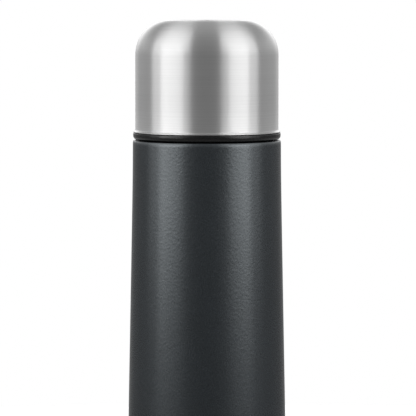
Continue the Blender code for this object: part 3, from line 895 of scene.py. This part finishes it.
def make_stopper_cap():
    """Grip cap: ribbed skirt, dished deck, pouring slot, air slot, and a notch for the latch."""
    bottom = low("stopper_cover")
    deck = COVER_TOP - 1.6
    dish = COVER_TOP - 0.35
    bore = BUTTON_R + GAP
    sleeve_r, sleeve_low = bore + 1.2, COVER_TOP - 7.5
    skirt_bore = 23.0
    edge = 1.2
    ribs, rib_depth, rib_fade = 48, 0.35, 0.8

    def shape(r, z, angle):
        if abs(r - COVER_R) > 1e-6:
            return r, z
        ends = smooth((z - bottom - 0.6) / rib_fade) * smooth((COVER_TOP - 2.2 - z) / rib_fade)
        return r - rib_depth * ends * (0.5 - 0.5 * cos(ribs * angle)) ** 0.6, z

    outline = [
        (bore, COVER_TOP - 0.1, 0.3),
        (bore, sleeve_low, 0.2),
        (sleeve_r, sleeve_low, 0.2),
        (sleeve_r, deck, 0.4),
        (skirt_bore, deck, 0.5),
        (skirt_bore, bottom, 0.2),
        (COVER_R, bottom, 0.3),
        *wall(COVER_R, bottom + 0.5, COVER_TOP - 1.6, 0.35),
        *arc(COVER_R - edge, COVER_TOP - edge, edge, edge, 0, 90, 6),
        (COVER_R - 2.4, dish, 0.8),
        (bore + 1.6, dish, 0.5),
        (bore + 1.0, COVER_TOP - 0.1, 0.3),
    ]
    cap = turned("stopper_cap", outline, BLACK, shape, segments=288)
    slot_inner, slot_outer, slot_corner = bore + 2.6, skirt_bore - 1.2, 1.2
    cut_low, cut_high = deck - CUT_PAST, COVER_TOP + CUT_PAST
    for name, start, end in (("pouring_slot", 140, 220), ("air_slot", -14, 14)):
        plan = sector_plan(slot_inner, slot_outer, start, end, slot_corner)
        combine(cap, prism(name, plan, cut_low, cut_high, BLACK), "DIFFERENCE")
    side = LATCH_HALF + GAP
    notch_inner, notch_outer = 21.0, COVER_R + 2.0
    notch_top = high("latch_slider") + GAP
    notch = [(notch_inner, -side), (notch_outer, -side), (notch_outer, side), (notch_inner, side)]
    combine(cap, prism("notch", notch, bottom - CUT_PAST, notch_top, BLACK), "DIFFERENCE")
    cap.data.set_sharp_from_angle(angle=SHARP)
    put(cap, "stopper", "black_plastic", "stopper_cover")


def make_release_slider():
    """Release latch: ring, spring tongue, and an arm that ends in a ribbed thumb pad."""
    bottom, top = low("latch_slider"), high("latch_slider")
    tongue_end, pad_end = (corner.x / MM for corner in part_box("latch_slider"))
    offset = LATCH_TRAVEL / 2
    bore = BUTTON_R + GAP + offset
    band = 2.6
    fillet = 0.25
    outline = [
        (bore, top, fillet),
        (bore, bottom, fillet),
        (bore + band, bottom, fillet),
        (bore + band, top, fillet),
    ]
    slider = turned("release_slider", outline, BUTTON_PLASTIC)
    slider.data.transform(Matrix.Translation((offset * MM, 0.0, 0.0)))

    steps, half_ribs, rib_depth = 12, 3, 0.25
    pad = []
    for step in range(steps + 1):
        y = -LATCH_HALF + 2 * LATCH_HALF * step / steps
        groove = rib_depth * (0.5 + 0.5 * cos(2 * pi * half_ribs * (y / LATCH_HALF)))
        pad.append((sqrt(pad_end**2 - y**2) - groove, y))
    front = offset + bore + band / 2
    arm = [(front, -LATCH_HALF), *pad, (front, LATCH_HALF)]
    combine(slider, prism("arm", arm, bottom, top, BUTTON_PLASTIC), "UNION")
    back = offset - bore - band / 2
    half = 2.4
    tongue = [(tongue_end, -half), (back, -half), (back, half), (tongue_end, half)]
    combine(slider, prism("tongue", tongue, bottom, top, BUTTON_PLASTIC), "UNION")
    slider.data.set_sharp_from_angle(angle=SHARP)
    put(slider, "latch", "button_plastic", "latch_slider")


def make_button():
    """Push button with a dished top inside a raised rim, and a socket for the stem."""
    bottom = low("pour_button")
    inner = BUTTON_R - 1.4
    roof = BUTTON_TOP - 2.0
    boss_r, boss_z = 4.1, bottom + 3.9
    socket_r, socket_z = STEM_R + GAP, high("valve_stem") + GAP
    outline = [
        (0.0, BUTTON_TOP - 0.75, 0.0),
        (3.0, BUTTON_TOP - 0.72, 0.0),
        (6.0, BUTTON_TOP - 0.6, 0.0),
        (8.6, BUTTON_TOP - 0.35, 0.8),
        (10.0, BUTTON_TOP, 0.5),
        (BUTTON_R, BUTTON_TOP, 0.9),
        (BUTTON_R, bottom, 0.25),
        (inner, bottom, 0.25),
        (inner, roof, 0.5),
        (boss_r, roof, 0.4),
        (boss_r, boss_z, 0.2),
        (socket_r, boss_z, 0.2),
        (socket_r, socket_z, 0.1),
        (0.0, socket_z, 0.0),
    ]
    button = turned("push_button", outline, BUTTON_PLASTIC, closed=False)
    put(button, "button", "button_plastic", "pour_button")


def make_valve():
    """Stem with its foot, the plug, and the seal ring on the plug."""
    bottom, top = low("valve_stem"), high("valve_stem")
    foot_r, foot_z = STEM_R + 2.0, bottom + 1.6
    stem = [
        (0.0, top, 0.0),
        (STEM_R, top, 0.4),
        (STEM_R, foot_z, 0.3),
        (foot_r, foot_z, 0.3),
        (foot_r, bottom, 0.5),
        (0.0, bottom, 0.0),
    ]
    rod = turned("valve_rod", stem, LINER_METAL, segments=64, closed=False)
    put(rod, "button", "bright_steel", "valve_stem")

    bore = STEM_R + GAP
    outer = radius("valve_plug")
    bottom, top = low("valve_plug"), high("valve_plug")
    plug = [
        (bore, top, 0.2),
        (bore, bottom, 0.3),
        (outer - 3.0, bottom, 1.0),
        (outer, bottom + 1.6, 0.5),
        (outer, top, 0.3),
    ]
    put(turned("valve_disc", plug, GREY), "button", "grey_plastic", "valve_plug")

    outer = radius("valve_seal")
    bottom, top = low("valve_seal"), high("valve_seal")
    seal = [
        (bore, top, 0.2),
        (bore, bottom, 0.2),
        (outer, bottom, 0.3),
        (outer, top, 0.5),
    ]
    put(turned("valve_washer", seal, SEAL), "button", "clear_silicone", "valve_seal")


def make_spring():
    """Compression spring with closed ends, made at one length; in use the button presses it
    shorter.
    """
    bottom, top = low("button_spring"), high("button_spring")
    wire, coil_r = 0.45, 4.9
    turns, per_turn = 8, 28
    count = turns * per_turn
    rise = top - bottom - 2 * wire
    closed_share = 1.0 / turns
    closed_rise = 2.0 * wire
    path = []
    for i in range(count + 1):
        share = i / count
        if share < closed_share:
            level = closed_rise * share / closed_share
        elif share > 1 - closed_share:
            level = rise - closed_rise * (1 - share) / closed_share
        else:
            middle = (share - closed_share) / (1 - 2 * closed_share)
            level = closed_rise + (rise - 2 * closed_rise) * middle
        angle = 2 * pi * i / per_turn
        path.append((coil_r * cos(angle), coil_r * sin(angle), bottom + wire + level))
    spring = tube("coil_spring", path, wire, 12, LINER_METAL)
    put(spring, "stopper", "bright_steel", "button_spring")
    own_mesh(spring)


# Camera, light and floor --------------------------------------------------------------------------


def make_camera():
    """A long lens, a little above the flask, which crops the flask below its middle."""
    distance = 1.5
    view_width = 0.187
    aim = Vector((0.0005, 0.0, 0.1662))
    ring_level = 0.198
    slope = radians(2.8)  # how steeply the camera looks down on the black ring
    data = bpy.data.cameras.new("camera")
    camera = bpy.data.objects.new("camera", data)
    bpy.context.scene.collection.objects.link(camera)
    camera.location = (aim.x, -distance, ring_level + distance * tan(slope))
    camera.rotation_euler = (aim - camera.location).to_track_quat("-Z", "Y").to_euler()
    data.lens = data.sensor_width * (aim - camera.location).length / view_width
    data.clip_start = 0.05
    data.clip_end = 50.0
    bpy.context.scene.camera = camera


def area_light(name, width, height, radiance):
    data = bpy.data.lights.new(name, "AREA")
    data.shape = "RECTANGLE"
    data.size = width
    data.size_y = height
    data.energy = radiance * pi * width * height
    light = bpy.data.objects.new(name, data)
    bpy.context.scene.collection.objects.link(light)
    light.visible_camera = False
    return light


def softbox(name, azimuth, width, bottom, top, radiance):
    """A softbox that faces the flask. Azimuth 0 is the camera's side and grows towards +X."""
    turn = radians(azimuth)
    away = Vector((sin(turn), -cos(turn), 0.0))
    lean = Quaternion(away, -copysign(SOFTBOX_LEAN, azimuth))
    light = area_light(name, width, top - bottom, radiance)
    light.location = away * SOFTBOX_DISTANCE + Vector((0.0, 0.0, LEAN_PIVOT))
    light.location += lean @ Vector((0.0, 0.0, (bottom + top) / 2 - LEAN_PIVOT))
    light.rotation_euler = (lean @ away.to_track_quat("Z", "Y")).to_euler()


def make_lights():
    """The softboxes, and a soft light straight above that doesn't show in reflections."""
    for box in SOFTBOXES:
        softbox(*box)
    overhead_size, overhead_z, overhead_radiance = 1.6, 1.5, 2.6
    overhead = area_light("overhead", overhead_size, overhead_size, overhead_radiance)
    overhead.location = (0.0, 0.0, overhead_z)
    overhead.visible_glossy = False


def make_world():
    """White to look at, and a grey to be lit by that is darker on the camera's side."""
    world = bpy.data.worlds.new("studio")
    bpy.context.scene.world = world
    world.use_nodes = True
    tree = world.node_tree
    tree.nodes.clear()
    output = tree.nodes.new("ShaderNodeOutputWorld")
    white = (1.0, 1.0, 1.0, 1.0)
    seen = add_node(tree, "ShaderNodeBackground", {"Color": white, "Strength": 1.0})
    direction = tree.nodes.new("ShaderNodeTexCoord").outputs["Generated"]
    parts = add_node(tree, "ShaderNodeSeparateXYZ", {0: direction})
    ramp = tree.nodes.new("ShaderNodeValToRGB")
    elements = ramp.color_ramp.elements
    while len(elements) < len(SURROUNDINGS):
        elements.new(0.5)
    for element, (height, grey) in zip(elements, SURROUNDINGS):
        element.position = height
        element.color = (grey, grey, grey, 1.0)
    up = scaled_to(tree, parts.outputs["Z"], 0.0, 1.0, -1.0, 1.0)
    tree.links.new(up, ramp.inputs["Fac"])
    overall = scaled_to(tree, parts.outputs["Y"], FRONT, BACK, -1.0, 1.0)
    backdrop = scaled_to(tree, parts.outputs["Y"], 0.0, BACKDROP, BACKDROP_START, 1.0)
    strength = add_node(tree, "ShaderNodeMath", {0: overall, 1: backdrop}, operation="ADD")
    sockets = {"Color": ramp.outputs["Color"], "Strength": strength.outputs[0]}
    lighting = add_node(tree, "ShaderNodeBackground", sockets)
    path = tree.nodes.new("ShaderNodeLightPath")
    mix = tree.nodes.new("ShaderNodeMixShader")
    tree.links.new(path.outputs["Is Camera Ray"], mix.inputs[0])
    tree.links.new(lighting.outputs[0], mix.inputs[1])
    tree.links.new(seen.outputs[0], mix.inputs[2])
    tree.links.new(mix.outputs[0], output.inputs["Surface"])


def make_floor():
    """A plain pale round floor, just under the flask's foot."""
    floor_radius, drop = 0.6, 0.0002
    bm = bmesh.new()
    bmesh.ops.create_circle(bm, cap_ends=True, segments=96, radius=floor_radius)
    bmesh.ops.translate(bm, vec=(0.0, 0.0, -drop), verts=bm.verts)
    mesh = bpy.data.meshes.new("floor")
    bm.to_mesh(mesh)
    bm.free()
    material, tree, shader = new_material("pale_floor", (0.9, 0.9, 0.9), 0.9)
    patches = noise(tree, object_coordinates(tree), 4.0)
    tinted(tree, shader, patches, (0.89, 0.89, 0.89), (0.91, 0.91, 0.91))
    mesh.materials.append(material)
    floor = bpy.data.objects.new("floor", mesh)
    bpy.context.scene.collection.objects.link(floor)
    floor.visible_glossy = False


def dress_hidden_nodes():
    """Gives the CAD nodes that stay, all of them sealed inside the flask, their own materials."""
    dressing = {
        "copper_foil": COPPER,
        "vacuum_base": LINER_METAL,
        "port_seal": SOLDER,
        "getter": PELLET,
        "getter_holder": LINER_METAL,
        "insulation_ring": FOAM,
    }
    for node, material in dressing.items():
        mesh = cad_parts[node].data
        mesh.materials.clear()
        mesh.materials.append(material)


def main():
    make_camera()
    make_world()
    make_lights()
    make_floor()
    make_body_shell()
    make_flask_liner()
    make_collar()
    make_foot_cover()
    make_cup()
    make_cup_lining()
    make_cup_seal()
    make_stopper_plug()
    make_stopper_seal()
    make_guide_lid()
    make_stopper_cap()
    make_release_slider()
    make_button()
    make_valve()
    make_spring()
    dress_hidden_nodes()
    bpy.context.scene.view_settings.view_transform = "Standard"


main()
